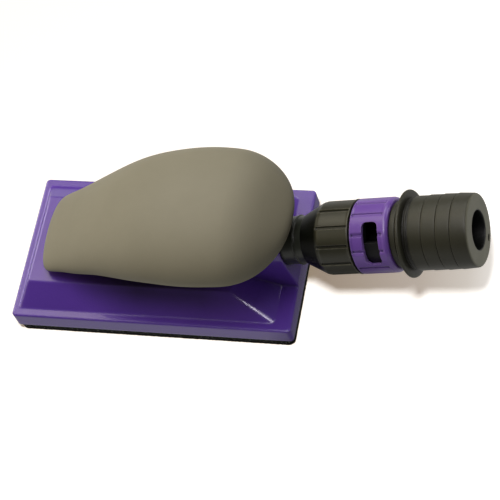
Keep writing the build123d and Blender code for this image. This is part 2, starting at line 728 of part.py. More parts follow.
os.makedirs("parts", exist_ok=True)
save("hook_sheet", build_pad_layer(0, HOOK_T))
save("foam_pad", build_pad_layer(HOOK_T, FOAM_T))
save("backing_plate", build_backing_plate())
save("plate_seal", build_plate_seal())
save("base_shell", build_base_shell())
save("plate_screws", build_plate_screws())
save("grip_skin", build_grip_skin())
save("grip_core", build_grip_core())
save("grip_washers", build_grip_washers())
save("grip_screws", build_grip_screws())
save("neck_tube", build_neck_tube())
save("neck_seal", o_rings(0.69, (NECK_SEAL_S, 9.43)))
save("neck_screw", build_neck_screw())
save("front_slip_ring", slip_ring(COLLAR_S0 - PLAY - SLIP_T, 10.3))
save("rear_slip_ring", slip_ring(COLLAR_S1 + PLAY, 9.95))
save("swivel_seal", o_rings(0.57, (SWIVEL_SEAL_S, 9.3)))
save("coupling_nut", build_coupling_nut())
save("coupling_tube", build_coupling_tube())
save("regulator_o_rings", o_rings(0.58, *[(s, 12.8) for s in REGULATOR_SEALS_S]))
save("regulator_ring", build_regulator_ring())
save("hose_adapter", build_hose_adapter())
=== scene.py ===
# Hand sanding block with dust extraction. It lies flat on z = 0, long side along X: the hose leaves
# at +X and rises gently, the front is -Y. Shapes are in millimetres, Blender data in metres.
import bpy, bmesh, json, math
from functools import cached_property, reduce
import numpy as np
from mathutils import Vector, Matrix


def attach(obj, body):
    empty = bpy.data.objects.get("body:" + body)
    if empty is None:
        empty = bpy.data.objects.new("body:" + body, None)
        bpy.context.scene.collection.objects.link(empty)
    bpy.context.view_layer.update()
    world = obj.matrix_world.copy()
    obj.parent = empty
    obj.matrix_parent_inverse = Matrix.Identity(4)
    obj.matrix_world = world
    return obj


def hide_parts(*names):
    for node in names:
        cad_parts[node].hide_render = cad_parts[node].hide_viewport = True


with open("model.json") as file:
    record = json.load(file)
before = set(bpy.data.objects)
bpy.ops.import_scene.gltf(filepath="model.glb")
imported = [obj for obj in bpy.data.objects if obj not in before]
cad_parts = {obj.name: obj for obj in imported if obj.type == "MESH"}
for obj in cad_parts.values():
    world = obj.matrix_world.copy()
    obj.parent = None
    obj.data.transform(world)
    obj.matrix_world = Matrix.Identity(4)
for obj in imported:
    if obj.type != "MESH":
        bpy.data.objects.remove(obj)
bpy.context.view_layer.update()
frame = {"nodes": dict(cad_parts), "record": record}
NODES = frame["nodes"]
MM = 0.001

HALF_LENGTH, HALF_WIDTH = 63.5, 35.0       # of the block, along X and Y

# Hose frame: s runs along the axis, angles turn from up towards the front
TILT = math.radians(11.3)
HOSE_ORIGIN = np.array([HALF_LENGTH, 0.0, 30.8])
HOSE_AXIS = np.array([math.cos(TILT), 0.0, math.sin(TILT)])
HOSE_UP = np.array([-math.sin(TILT), 0.0, math.cos(TILT)])
HOSE_FRONT = np.array([0.0, -1.0, 0.0])


# ------------------------------------------------------------------ material helpers
def srgb(*rgb):
    """Linear colour from 0-255 sRGB values."""
    def linear(c):
        c = c / 255
        return c / 12.92 if c <= 0.04045 else ((c + 0.055) / 1.055) ** 2.4
    return (*map(linear, rgb), 1.0)


class Material:
    """One material and the shader nodes it is built from."""

    def __init__(self, name):
        self.data = bpy.data.materials.new(name)
        self.data.use_nodes = True
        self.tree = self.data.node_tree
        self.tree.nodes.clear()
        self.output = self.node("OutputMaterial")
        self.bsdf = self.node("BsdfPrincipled")
        self.feed(self.output.inputs[0], self.bsdf.outputs[0])
        self.normal = None

    def feed(self, socket, value):
        """Links a socket into an input, or sets the input's value."""
        if isinstance(value, bpy.types.NodeSocket):
            self.tree.links.new(value, socket)
        else:
            socket.default_value = value

    def node(self, kind, inputs=None, **settings):
        """New shader node; inputs are keyed by name or index."""
        node = self.tree.nodes.new("ShaderNode" + kind)
        for name, value in settings.items():
            setattr(node, name, value)
        for key, value in (inputs or {}).items():
            self.feed(node.inputs[key], value)
        return node

    def set(self, **values):
        """Inputs of the principled shader."""
        for name, value in values.items():
            self.feed(self.bsdf.inputs[name.replace("_", " ")], value)

    @cached_property
    def coords(self):
        return self.node("TexCoord").outputs["Object"]

    @cached_property
    def hose_offset(self):
        return self.vector_math("SUBTRACT", self.coords, tuple(HOSE_ORIGIN * MM)).outputs[0]

    def axes(self, vector=None):
        return list(self.node("SeparateXYZ", {0: vector or self.coords}).outputs)

    def noise(self, scale, detail, roughness, vector=None):
        inputs = {"Scale": scale, "Detail": detail, "Roughness": roughness,
                  "Vector": vector or self.coords}
        return self.node("TexNoise", inputs).outputs["Fac"]

    def ramp(self, factor, stops):
        """Colour ramp; stops are (position, colour or grey)."""
        node = self.node("ValToRGB", {0: factor})
        elements = node.color_ramp.elements
        while len(elements) < len(stops):
            elements.new(0.5)
        for i, (position, c) in enumerate(stops):
            elements[i].position = position
            elements[i].color = c if isinstance(c, tuple) else (c, c, c, 1)
        return node.outputs[0]

    def math(self, operation, *values, clamp=False):
        inputs = dict(enumerate(values))
        return self.node("Math", inputs, operation=operation, use_clamp=clamp).outputs[0]

    def vector_math(self, operation, *values):
        return self.node("VectorMath", dict(enumerate(values)), operation=operation)

    def product(self, *factors):
        return reduce(lambda a, b: self.math("MULTIPLY", a, b), factors)

    def span(self, value, zero_at, one_at):
        """0 at zero_at, 1 at one_at, clamped beyond them."""
        offset = self.math("SUBTRACT", value, zero_at)
        return self.math("DIVIDE", offset, one_at - zero_at, clamp=True)

    def mix(self, factor, a, b):
        return self.node("Mix", {0: factor, 6: a, 7: b}, data_type="RGBA").outputs[2]

    def mottle(self, dark, light, scale, detail, roughness=0.6, full=0.75):
        """Soft cloudy change between two close colours."""
        clouds = self.noise(scale, detail, roughness)
        return self.mix(self.ramp(clouds, [(0.3, 0.0), (full, 1.0)]), dark, light)

    def uneven_roughness(self, middle, scale, detail=4, swing=0.16):
        change = self.product(self.noise(scale, detail, 0.6), swing)
        self.set(Roughness=self.math("ADD", change, middle - swing / 2))

    def round_edges(self, radius):
        """Shades sharp edges as if they were rounded."""
        self.normal = self.node("Bevel", {"Radius": radius}, samples=6).outputs[0]
        self.set(Normal=self.normal)

    def bump(self, height, distance, strength):
        """Bump, laid over any edge rounding or bump before it."""
        inputs = {"Distance": distance, "Strength": strength, "Height": height}
        if self.normal is not None:
            inputs["Normal"] = self.normal
        self.normal = self.node("Bump", inputs).outputs[0]
        self.set(Normal=self.normal)

    def along_hose(self):
        """Millimetres along the hose axis."""
        dot = self.vector_math("DOT_PRODUCT", self.hose_offset, tuple(HOSE_AXIS))
        return self.product(dot.outputs["Value"], 1000.0)

    def from_hose(self):
        """Millimetres from the hose axis."""
        cross = self.vector_math("CROSS_PRODUCT", self.hose_offset, tuple(HOSE_AXIS)).outputs[0]
        return self.product(self.vector_math("LENGTH", cross).outputs["Value"], 1000.0)

    def paint_relief_shading(self, color, start, full, dark, light, highlight, shade):
        """Painted shade in hollows and painted highlights along raised edges of a dense mesh.

        start and full are offsets from a flat face's pointiness, 0.5."""
        point = self.node("NewGeometry").outputs["Pointiness"]
        patches = self.ramp(self.noise(420, 4, 0.7), [(0.38, 0.25), (0.62, 1.0)])
        raised = self.product(self.span(point, 0.5 + start, 0.5 + full), highlight, patches)
        hollow = self.product(self.span(point, 0.5 - start, 0.5 - full), shade)
        return self.mix(hollow, self.mix(raised, color, light), dark)


# ------------------------------------------------------------------ materials
def shell_purple():
    m = Material("shell_purple")
    color = m.mottle(srgb(86, 53, 156), srgb(93, 57, 166), 28, 3, roughness=0.5, full=0.7)
    specks = m.ramp(m.noise(scale=2600, detail=2, roughness=0.7), [(0.66, 0.0), (0.78, 1.0)])
    color = m.mix(m.product(specks, 0.06), color, srgb(170, 160, 190))
    x, y, _ = m.axes()
    along = m.span(x, -0.060, 0.060)
    # dark band of painted shade under the grip along the front side, strongest between the middle
    # and the hose end
    grip_shade_band = m.product(
        m.span(y, -0.0312, -0.0235), m.span(y, 0.0, -0.015),
        m.ramp(along, [(0.2, 0.0), (0.45, 1.0), (0.7, 0.85), (0.84, 0.0)]), 0.62)
    color = m.mix(grip_shade_band, color, srgb(18, 14, 16))
    # shade where parts nearly meet, deeper towards the hose end
    openness = m.node("AmbientOcclusion", {"Distance": 0.022}, samples=8).outputs["AO"]
    depth = m.ramp(along, [(0.0, 0.1), (0.2, 0.25), (0.4, 0.8)])
    shade = m.product(m.span(openness, 0.72, 0.28), depth)
    m.set(Base_Color=m.mix(shade, color, srgb(16, 12, 20)))
    m.uneven_roughness(0.24, scale=60, detail=5, swing=0.12)
    m.round_edges(0.0014)
    m.bump(m.noise(scale=1100, detail=2, roughness=0.5), distance=0.00007, strength=0.9)
    m.bump(m.noise(scale=2860, detail=3, roughness=0.6), distance=0.00003, strength=0.7)
    m.set(Specular_IOR_Level=0.5, Coat_Weight=0.3, Coat_Roughness=0.08)
    return m.data


def ring_purple():
    """Purple with painted highlights on the ridges and painted shade in the flutes."""
    m = Material("ring_purple")
    color = m.mottle(srgb(106, 71, 158), srgb(114, 77, 168), 28, 3, roughness=0.5, full=0.7)
    m.set(Base_Color=m.paint_relief_shading(color, start=0.005, full=0.06, dark=srgb(34, 18, 58),
                            light=srgb(172, 148, 200), highlight=0.5, shade=0.85))
    m.uneven_roughness(0.30, scale=60, detail=5, swing=0.12)
    m.round_edges(0.0004)
    m.bump(m.noise(scale=700, detail=2, roughness=0.5), distance=0.00004, strength=0.55)
    m.bump(m.noise(scale=1820, detail=3, roughness=0.6), distance=0.00002, strength=0.5)
    m.set(Coat_Weight=0.12, Coat_Roughness=0.08)
    return m.data


def black_plastic(name, base, roughness=0.42, specular=0.5):
    m = Material(name)
    light = srgb(*[c + 6 for c in base])
    m.set(Base_Color=m.mottle(srgb(*base), light, scale=45, detail=4))
    m.uneven_roughness(roughness, scale=80)
    m.round_edges(0.0003)
    m.bump(m.noise(scale=1500, detail=3, roughness=0.6), distance=0.00003, strength=0.5)
    m.set(Specular_IOR_Level=specular)
    return m.data


def nut_black():
    """Painted highlights on the ridges, painted shade in the flutes and over the cone, which is
    also duller.
    """
    m = Material("nut_black")
    s = m.along_hose()
    cone = {"zero_at": 16.6, "one_at": 15.0}       # mm along the hose
    color = m.mottle(srgb(40, 39, 25), srgb(47, 46, 32), scale=45, detail=4)
    color = m.paint_relief_shading(color, start=0.005, full=0.05, dark=srgb(4, 5, 3),
                   light=srgb(112, 110, 92), highlight=0.55, shade=0.95)
    # the cone is painted darker as shade
    m.set(Base_Color=m.mix(m.span(s, **cone), color, srgb(11, 12, 7)))
    m.uneven_roughness(0.35, scale=80)
    m.round_edges(0.0003)
    m.bump(m.noise(scale=1200, detail=3, roughness=0.6), distance=0.00003, strength=0.5)
    m.set(Specular_IOR_Level=m.math("SUBTRACT", 0.5, m.product(m.span(s, **cone), 0.4)))
    return m.data


def grip_soft():
    m = Material("grip_soft")
    color = m.mottle(srgb(128, 123, 104), srgb(134, 129, 110), scale=35, detail=5)
    # painted shade: darker at the hose end, most of all low down
    x, _, z = m.axes()
    low = m.math("ADD", m.product(m.span(z, 0.048, 0.026), 0.5), 0.42)
    painted_rear_shade = m.product(m.span(x, 0.040, 0.056), low)
    m.set(Base_Color=m.mix(painted_rear_shade, color, srgb(94.72, 91.02, 76.96)))
    m.uneven_roughness(0.58, scale=60)
    m.bump(m.noise(scale=1300, detail=4, roughness=0.65), distance=0.00004, strength=0.7)
    m.set(Specular_IOR_Level=0.28)
    return m.data


def rubber(name, base, roughness):
    m = Material(name)
    light = srgb(*[c + 8 for c in base])
    m.set(Base_Color=m.mottle(srgb(*base), light, scale=35, detail=5))
    m.uneven_roughness(roughness, scale=60)
    m.round_edges(0.0003)
    m.bump(m.noise(scale=1100, detail=4, roughness=0.65), distance=0.00005, strength=0.7)
    m.set(Specular_IOR_Level=0.35)
    return m.data


def adapter_rubber():
    """Paler end face as painted light, painted shade in the bore, the flange crevice and hollows,
    painted highlights along barb edges.
    """
    m = Material("adapter_rubber")
    s, r = m.along_hose(), m.from_hose()
    color = m.mottle(srgb(42, 41, 28), srgb(49, 48, 35), scale=35, detail=5)
    color = m.paint_relief_shading(color, start=0.01, full=0.08, dark=srgb(10, 10, 7),
                   light=srgb(92, 91, 76), highlight=0.4, shade=0.9)
    # paler end face: painted light from the right, in patches
    end_light_patches = m.ramp(m.noise(scale=90, detail=5, roughness=0.7), [(0.25, 0.75), (0.7, 1.0)])
    color = m.mix(m.product(m.span(s, 81.2, 81.75), end_light_patches), color, srgb(104, 103, 86))
    # painted shade darkens the bore
    color = m.mix(m.span(r, 8.75, 8.2), color, srgb(9, 11, 9))
    # painted shade in the crevice behind the flange
    crevice = m.product(m.span(s, 53.7, 54.1), m.span(s, 56.9, 56.3), 0.75)
    m.set(Base_Color=m.mix(crevice, color, srgb(12, 12, 8)))
    m.uneven_roughness(0.46, scale=60)
    m.round_edges(0.0003)
    m.bump(m.noise(scale=900, detail=4, roughness=0.65), distance=0.00004, strength=0.7)
    m.set(Specular_IOR_Level=0.42)
    return m.data


def pad_material(name, base, fleck, scale, amount):
    """Near-black open material with paler flecks where cells or fibres catch the light."""
    m = Material(name)
    cells = m.node("TexVoronoi", {"Scale": scale, "Vector": m.coords}).outputs["Distance"]
    flecks = m.ramp(m.noise(scale * 0.8, detail=4, roughness=0.8), [(0.56, 0.0), (0.70, 1.0)])
    color = m.mix(m.product(flecks, amount), srgb(*base), srgb(*fleck))
    # painted shade in the cells' pores
    color = m.mix(m.ramp(cells, [(0.0, 0.55), (0.5, 0.0)]), color, srgb(6, 7, 6))
    m.set(Base_Color=color, Roughness=0.95, Specular_IOR_Level=0.25)
    m.bump(cells, distance=0.00025, strength=0.9)
    m.bump(m.noise(scale * 2.5, detail=3, roughness=0.7), distance=0.0001, strength=0.8)
    return m.data


def steel():
    """Metal brushed in fine layers across Z."""
    m = Material("steel")
    layers = m.node("Mapping", {0: m.coords, "Scale": (1, 1, 30)}).outputs[0]
    brushed = m.noise(scale=140, detail=4, roughness=0.6, vector=layers)
    m.set(Base_Color=m.mix(brushed, srgb(150, 152, 156), srgb(196, 198, 200)), Metallic=1.0,
          Roughness=m.math("ADD", m.product(brushed, 0.2), 0.22))
    m.bump(brushed, distance=0.00003, strength=0.4)
    return m.data


# The plain names are taken first, so that these three materials get Blender's numbered names
for name in ("ring_purple", "nut_black", "adapter_rubber"):
    bpy.data.materials.new(name)

MATERIALS = {
    "shell_purple": shell_purple(),
    "grip_soft": grip_soft(),
    "core_black": black_plastic("core_black", (26, 22, 44)),
    "neck_black": black_plastic("neck_black", (37, 40, 30), roughness=0.36),
    "tube_black": black_plastic("tube_black", (10, 10, 11), roughness=0.5, specular=0.3),
    "plate_black": black_plastic("plate_black", (34, 34, 34), roughness=0.5),
    "foam": pad_material("foam", (16, 20, 17), (150, 150, 145), scale=1300, amount=0.8),
    "hook": pad_material("hook", (14, 15, 14), (70, 70, 66), scale=2600, amount=0.5),
    "seal_rubber": rubber("seal_rubber", (20, 20, 20), roughness=0.5),
    "slip_white": rubber("slip_white", (205, 203, 196), roughness=0.4),
    "steel": steel(),
    "adapter_rubber": adapter_rubber(),
    "nut_black": nut_black(),
    "ring_purple": ring_purple(),
}


def dress_frame():
    """Gives every CAD piece the material of its slot."""
    slot_of = {part["node"]: part["material_slot"] for part in frame["record"]["subparts"]}
    for name, obj in NODES.items():
        material = MATERIALS[slot_of[name]]
        slots = obj.data.materials
        if slots:
            for i in range(len(slots)):
                slots[i] = material
        else:
            slots.append(material)


dress_frame()


# ------------------------------------------------------------------ mesh helpers
def smooth_shade(bm, degrees):
    """Smooth shading up to an edge angle."""
    limit = math.radians(degrees)
    for face in bm.faces:
        face.smooth = True
    for edge in bm.edges:
        edge.smooth = not (len(edge.link_faces) == 2 and edge.calc_face_angle(0.0) > limit)


def make(name, verts, faces, slot, smooth=35.0):
    """Mesh object from millimetre vertices."""
    mesh = bpy.data.meshes.new(name)
    mesh.from_pydata((np.asarray(verts, float) * MM).tolist(), [], faces)
    mesh.validate()
    bm = bmesh.new()
    bm.from_mesh(mesh)
    bmesh.ops.recalc_face_normals(bm, faces=bm.faces)
    smooth_shade(bm, smooth)
    bm.to_mesh(mesh)
    bm.free()
    mesh.materials.append(MATERIALS[slot])
    obj = bpy.data.objects.new(name, mesh)
    bpy.context.scene.collection.objects.link(obj)
    return obj


def resmooth(obj, degrees):
    bm = bmesh.new()
    bm.from_mesh(obj.data)
    smooth_shade(bm, degrees)
    bm.to_mesh(obj.data)
    bm.free()


def cut(obj, slot, shape):
    """Exact boolean difference, applied; shape is the cutter's (vertices, faces)."""
    cutter = make("cutter", *shape, slot)
    modifier = obj.modifiers.new("cut", "BOOLEAN")
    modifier.operation = "DIFFERENCE"
    modifier.solver = "EXACT"
    modifier.object = cutter
    bpy.context.view_layer.update()
    graph = bpy.context.evaluated_depsgraph_get()
    mesh = bpy.data.meshes.new_from_object(obj.evaluated_get(graph))
    obj.modifiers.clear()
    old = obj.data
    obj.data = mesh
    bpy.data.meshes.remove(old)
    bpy.data.objects.remove(cutter)


def register(obj, node, rides):
    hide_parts(node)
    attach(obj, rides)


def soften(profile, steps):
    """Closed (s, r, corner) profile with each corner rounded by a quadratic curve.

    The curve starts at most corner away from the point, and less on short sides."""
    out = []
    points = [np.array(p[:2], float) for p in profile]
    for i, here in enumerate(points):
        before, after = points[i - 1], points[(i + 1) % len(points)]
        to_before, to_after = np.linalg.norm(before - here), np.linalg.norm(after - here)
        reach = min(profile[i][2], to_before * 0.45, to_after * 0.45)
        start = here + (before - here) / to_before * reach
        end = here + (after - here) / to_after * reach
        for k in range(steps + 1):
            t = k / steps
            out.append(start * (1 - t) ** 2 + here * 2 * t * (1 - t) + end * t * t)
    return out


def divide(loop, step, whole=math.ceil):
    """Splits the sides of a closed loop into lengths near step; whole rounds their number."""
    out = []
    for i in range(len(loop)):
        a, b = np.array(loop[i]), np.array(loop[(i + 1) % len(loop)])
        count = max(1, whole(np.linalg.norm(b - a) / step))
        out += [a + (b - a) * j / count for j in range(count)]
    return out


def radial(angle):
    """Unit vectors across the hose axis, for angles in radians."""
    angle = np.asarray(angle)[..., None]
    return HOSE_UP * np.cos(angle) + HOSE_FRONT * np.sin(angle)


def quads(low, high):
    """Quads between rows of vertex numbers that close round."""
    corners = [low, high, np.roll(high, -1, 1), np.roll(low, -1, 1)]
    return np.stack(corners, -1).reshape(-1, 4).tolist()


def turned(profile, corner_steps, side, around, shape=None):
    """Vertices and faces of a profile turned about the hose axis.

    side is the longest side left whole; shape(s, r, degrees) changes r."""
    loop = np.array(divide(soften(profile, corner_steps), side))
    angles = np.arange(around) * 2 * math.pi / around
    s, r = loop[:, :1], loop[:, 1:]
    if shape:
        r = shape(s, r, np.degrees(angles)[None, :])
    verts = HOSE_ORIGIN + HOSE_AXIS * s[..., None] + radial(angles)[None] * r[..., None]
    rows = np.arange(len(loop) * around).reshape(len(loop), around)
    return verts.reshape(-1, 3), quads(rows, np.roll(rows, -1, 0))


def ease(x):
    """Smooth step from 0 to 1."""
    x = np.clip(x, 0, 1)
    return x * x * (3 - 2 * x)


def flutes(degrees, lobe, gap, blend):
    """1 in the flutes between six lobes, 0 on the lobes, changing over blend degrees."""
    from_lobe = (degrees - lobe + 30) % 60 - 30
    return ease((np.abs(from_lobe) - (30 - gap / 2) + blend / 2) / blend)


def grooves(degrees, first, pitch, flat, reach):
    """1 within flat degrees of each groove's middle, falling to 0 at reach degrees."""
    off = np.abs((degrees - first + pitch / 2) % pitch - pitch / 2)
    return 1 - ease((off - flat) / (reach - flat))


def prism(low, high):
    """Closed prism between two matching loops of points."""
    n = len(low)
    faces = [tuple(range(n - 1, -1, -1)), tuple(range(n, 2 * n))]
    faces += [(i, (i + 1) % n, n + (i + 1) % n, n + i) for i in range(n)]
    return [*low, *high], faces


def upright(outline, z0, z1):
    return prism([(x, y, z0) for x, y in outline], [(x, y, z1) for x, y in outline])


def circle(cx, cy, radii):
    """One point per radius, evenly round a centre."""
    turn = 2 * math.pi
    n = len(radii)
    return [(cx + r * math.cos(turn * k / n), cy + r * math.sin(turn * k / n))
            for k, r in enumerate(radii)]


def rounded_rect(x0, x1, y0, y1, r, steps=12):
    points = []
    corners = ((x1 - r, y1 - r, 0), (x0 + r, y1 - r, 90),
               (x0 + r, y0 + r, 180), (x1 - r, y0 + r, 270))
    for cx, cy, start in corners:
        for k in range(steps + 1):
            a = math.radians(start + 90 * k / steps)
            points.append((cx + r * math.cos(a), cy + r * math.sin(a)))
    return points


# ------------------------------------------------------------------ palm grip
# station x, half width, height of the widest line, height above it, depth below it
GRIP = np.array([
    (-50.593, 0.000, 23.859, 0.000, 0.000), (-50.497, 6.729, 23.915, 1.996, 0.467),
    (-50.211, 10.376, 24.080, 3.097, 0.740), (-49.735, 13.109, 24.350, 3.939, 0.972),
    (-49.070, 15.177, 24.715, 4.604, 1.185), (-48.219, 16.704, 25.163, 5.135, 1.390),
    (-47.185, 17.789, 25.681, 5.571, 1.590), (-45.970, 18.537, 26.258, 5.954, 1.791),
    (-44.580, 19.056, 26.880, 6.320, 1.995), (-43.018, 19.446, 27.540, 6.705, 2.204),
    (-41.290, 19.797, 28.235, 7.132, 2.419), (-39.400, 20.173, 28.966, 7.613, 2.642),
    (-37.357, 20.618, 29.745, 8.149, 2.877), (-35.165, 21.153, 30.592, 8.733, 3.163),
    (-32.832, 21.780, 31.538, 9.348, 3.516), (-30.366, 22.421, 32.621, 9.951, 3.930),
    (-27.775, 23.034, 33.842, 10.513, 4.390), (-25.067, 23.643, 35.165, 11.036, 4.874),
    (-22.251, 24.283, 36.541, 11.528, 5.352), (-19.337, 24.995, 37.910, 11.998, 5.791),
    (-16.333, 25.804, 39.217, 12.455, 6.149), (-13.250, 26.680, 40.444, 12.895, 6.407),
    (-10.098, 27.581, 41.579, 13.313, 6.652), (-6.887, 28.458, 42.609, 13.704, 6.892),
    (-3.626, 29.257, 43.523, 14.063, 7.120), (-0.328, 29.954, 44.319, 14.380, 7.329),
    (2.997, 30.561, 45.000, 14.642, 7.511), (6.338, 31.094, 45.574, 14.852, 7.658),
    (9.685, 31.573, 46.050, 15.020, 7.765), (13.027, 32.012, 46.438, 15.155, 7.824),
    (16.352, 32.399, 46.747, 15.271, 7.807), (19.650, 32.715, 46.985, 15.382, 7.536),
    (22.910, 32.942, 47.161, 15.497, 7.043), (26.122, 33.066, 47.284, 15.610, 6.406),
    (29.274, 33.084, 47.361, 15.711, 5.701), (32.357, 33.013, 47.390, 15.798, 4.997),
    (35.361, 32.869, 47.374, 15.868, 4.354), (38.275, 32.668, 47.312, 15.922, 3.824),
    (41.091, 32.337, 47.209, 15.912, 3.439), (43.799, 31.759, 47.084, 15.754, 3.214),
    (46.390, 30.929, 46.977, 15.411, 3.153), (48.856, 29.857, 46.918, 14.868, 3.182),
    (51.188, 28.565, 46.928, 14.127, 3.262), (53.380, 27.073, 47.018, 13.205, 3.361),
    (55.424, 25.408, 47.191, 12.133, 3.450), (57.313, 23.592, 47.443, 10.947, 3.505),
    (59.042, 21.648, 47.762, 9.692, 3.503), (60.604, 19.597, 48.132, 8.411, 3.430),
    (61.994, 17.457, 48.534, 7.142, 3.275), (63.208, 15.241, 48.944, 5.920, 3.032),
    (64.243, 12.957, 49.339, 4.766, 2.702), (65.094, 10.608, 49.699, 3.693, 2.289),
    (65.758, 8.190, 50.002, 2.701, 1.803), (66.235, 5.684, 50.231, 1.776, 1.253),
    (66.521, 3.044, 50.374, 0.895, 0.653), (66.617, 0.000, 50.422, 0.000, 0.000),
])
GRIP_UP, GRIP_DOWN = 2.027, 2.754     # superellipse powers above and below the widest line
GRIP_WALL = 2.1


def grip_stations(inset):
    """The stations, shrunk by inset on every side."""
    out = GRIP.copy()
    x0, x1 = GRIP[0, 0], GRIP[-1, 0]
    middle = (x0 + x1) / 2
    out[:, 0] = middle + (GRIP[:, 0] - middle) * ((x1 - x0 - 2 * inset) / (x1 - x0))
    sizes = GRIP[:, [1, 3, 4]]
    out[:, [1, 3, 4]] = np.maximum(sizes - inset, sizes * 0.3)
    return out


def dense(rows, steps):
    """Catmull-Rom through the stations, with steps between each pair."""
    P = np.vstack([2 * rows[0] - rows[1], rows, 2 * rows[-1] - rows[-2]])
    out = []
    for i in range(1, len(P) - 2):
        before, a, b, after = P[i - 1:i + 3]
        for j in range(steps):
            t = j / steps
            out.append(0.5 * ((2 * a) + (-before + b) * t
                              + (2 * before - 5 * a + 4 * b - after) * t * t
                              + (-before + 3 * a - 3 * b + after) * t ** 3))
    out.append(P[-2])
    return np.array(out)


def grip_surface(inset, around, steps):
    """Closed skin; each end is a fan about one point."""
    stations = dense(grip_stations(inset), steps)
    angles = np.linspace(0, 2 * math.pi, around, endpoint=False)
    c, s = np.cos(angles), np.sin(angles)
    power = np.where(s >= 0, 2 / GRIP_UP, 2 / GRIP_DOWN)
    across = np.sign(c) * np.abs(c) ** power
    rise = np.sign(s) * np.abs(s) ** power
    x, width, height, above, below = (column[:, None] for column in stations[1:-1].T)
    Y = width * across
    Z = height + np.where(s >= 0, above, below) * rise
    verts = np.stack([np.repeat(x, around, 1), Y, Z], -1).reshape(-1, 3)
    rows = np.arange(len(verts)).reshape(-1, around)
    faces = quads(rows[:-1], rows[1:])
    low, high = len(verts), len(verts) + 1
    tips = [[stations[i, 0], 0, stations[i, 2]] for i in (0, -1)]
    for j in range(around):
        k = (j + 1) % around
        faces.append((low, int(rows[0, k]), int(rows[0, j])))
        faces.append((high, int(rows[-1, j]), int(rows[-1, k])))
    return np.vstack([verts, tips]), faces


def build_grip():
    """Hollow grip, opened from below by two overlapping pockets."""
    slot = "grip_soft"
    outer, outer_faces = grip_surface(0.0, around=168, steps=3)
    inner, inner_faces = grip_surface(GRIP_WALL, around=96, steps=1)
    faces = outer_faces + [tuple(len(outer) + i for i in reversed(f)) for f in inner_faces]
    grip = make("palm_grip", np.vstack([outer, inner]), faces, slot, smooth=60)
    pocket_end = 25.9
    cut(grip, slot, upright(rounded_rect(-42.1, pocket_end, -11.6, 11.6, 8.1), 20.0, 31.5))
    cut(grip, slot, upright(rounded_rect(-26.1, pocket_end, -11.62, 11.62, 8.12), 27.0, 41.7))
    resmooth(grip, 60)
    register(grip, "grip_skin", "block")
    return grip


grip = build_grip()

# ------------------------------------------------------------------ foam pad and hook sheet
HOOK_TOP, FOAM_TOP = 1.5, 4.6
PAD_INSET, PAD_CORNER = 0.5, 3.0
HOLE_R, HOLE_PITCH, HOLE_Y = 4.5, 28, 17


def build_pad(name, node, slot, z0, z1, layers, ragged, seed):
    """Flat layer with ragged edges and eight dust holes; ragged is how deep the edge wanders."""
    rng = np.random.default_rng(seed)
    half_x, half_y = HALF_LENGTH - PAD_INSET, HALF_WIDTH - PAD_INSET
    outline = rounded_rect(-half_x, half_x, -half_y, half_y, PAD_CORNER, steps=10)
    outline = np.array(divide(outline, 0.55, whole=int))
    n = len(outline)
    tangent = np.roll(outline, -1, 0) - np.roll(outline, 1, 0)
    outward = np.stack([tangent[:, 1], -tangent[:, 0]], 1)
    outward /= np.linalg.norm(outward, axis=1)[:, None]
    rings = []
    for i, z in enumerate(np.linspace(z0, z1, layers)):
        rim = i in (0, layers - 1)
        shift = rng.uniform(-1, 0.25, n) * ragged * (0.5 if rim else 1.0)
        lift = np.zeros(n)
        if rim:
            shift = shift - ragged * 0.4
        else:
            lift = rng.uniform(-0.5, 0.5, n) * (z1 - z0) / layers * 0.7
        rings.append(np.column_stack([outline + outward * shift[:, None], z + lift]))
    faces = [tuple(range(n - 1, -1, -1)), tuple(range((layers - 1) * n, layers * n))]
    for i in range(layers - 1):
        for k in range(n):
            a, b = i * n + k, i * n + (k + 1) % n
            faces.append((a, b, b + n, a + n))
    pad = make(name, np.vstack(rings), faces, slot, smooth=180)

    hole_verts, hole_faces = [], []
    for column in (-1.5, -0.5, 0.5, 1.5):
        for y in (-HOLE_Y, HOLE_Y):
            radii = HOLE_R + rng.uniform(-0.5, 1, 40) * ragged * 0.4
            outline = circle(column * HOLE_PITCH, y, radii)
            verts, faces = upright(outline, z0 - 1, z1 + 1)
            hole_faces += [tuple(len(hole_verts) + i for i in face) for face in faces]
            hole_verts += verts
    cut(pad, slot, (hole_verts, hole_faces))
    register(pad, node, "block")


build_pad("foam_layer", "foam_pad", "foam", HOOK_TOP, FOAM_TOP, layers=7, ragged=0.28, seed=11)
build_pad("hook_layer", "hook_sheet", "hook", 0.0, HOOK_TOP, layers=5, ragged=0.22, seed=12)

# Profiles below: s along the hose, r from its axis, how far the corner's rounding reaches

# ------------------------------------------------------------------ coupling nut
NUT_R, NUT_STEP = 15.7, 0.95
NUT_PROFILE = [
    (7.0, 10.35, 0.1), (7.0, 10.75, 0.25), (16.5, 15.5, 0.4), (17.1, NUT_R, 0.4),
    (30.5, NUT_R, 0.35), (30.5, 13.95, 0.15), (17.0, 13.95, 0.1), (16.4, 12.1, 0.1),
    (11.0, 12.1, 0.1), (11.0, 10.35, 0.1)]


def nut_shape(s, r, degrees):
    """Shallow flutes and deep grooves in the outer face."""
    depth = np.maximum(flutes(degrees, lobe=31.75, gap=28.5, blend=1.8) * 0.3,
                       grooves(degrees, first=14.75, pitch=30.0, flat=1.5, reach=3.1))
    along = ease((s - 15.8) / 0.8) * ease((30.05 - s) / 0.3)
    return r - NUT_STEP * depth * along * (r > 14.3)


def build_nut():
    shape = turned(NUT_PROFILE, corner_steps=4, side=0.6, around=720, shape=nut_shape)
    nut = make("swivel_nut", *shape, "nut_black", smooth=38)
    register(nut, "coupling_nut", "nut")


build_nut()

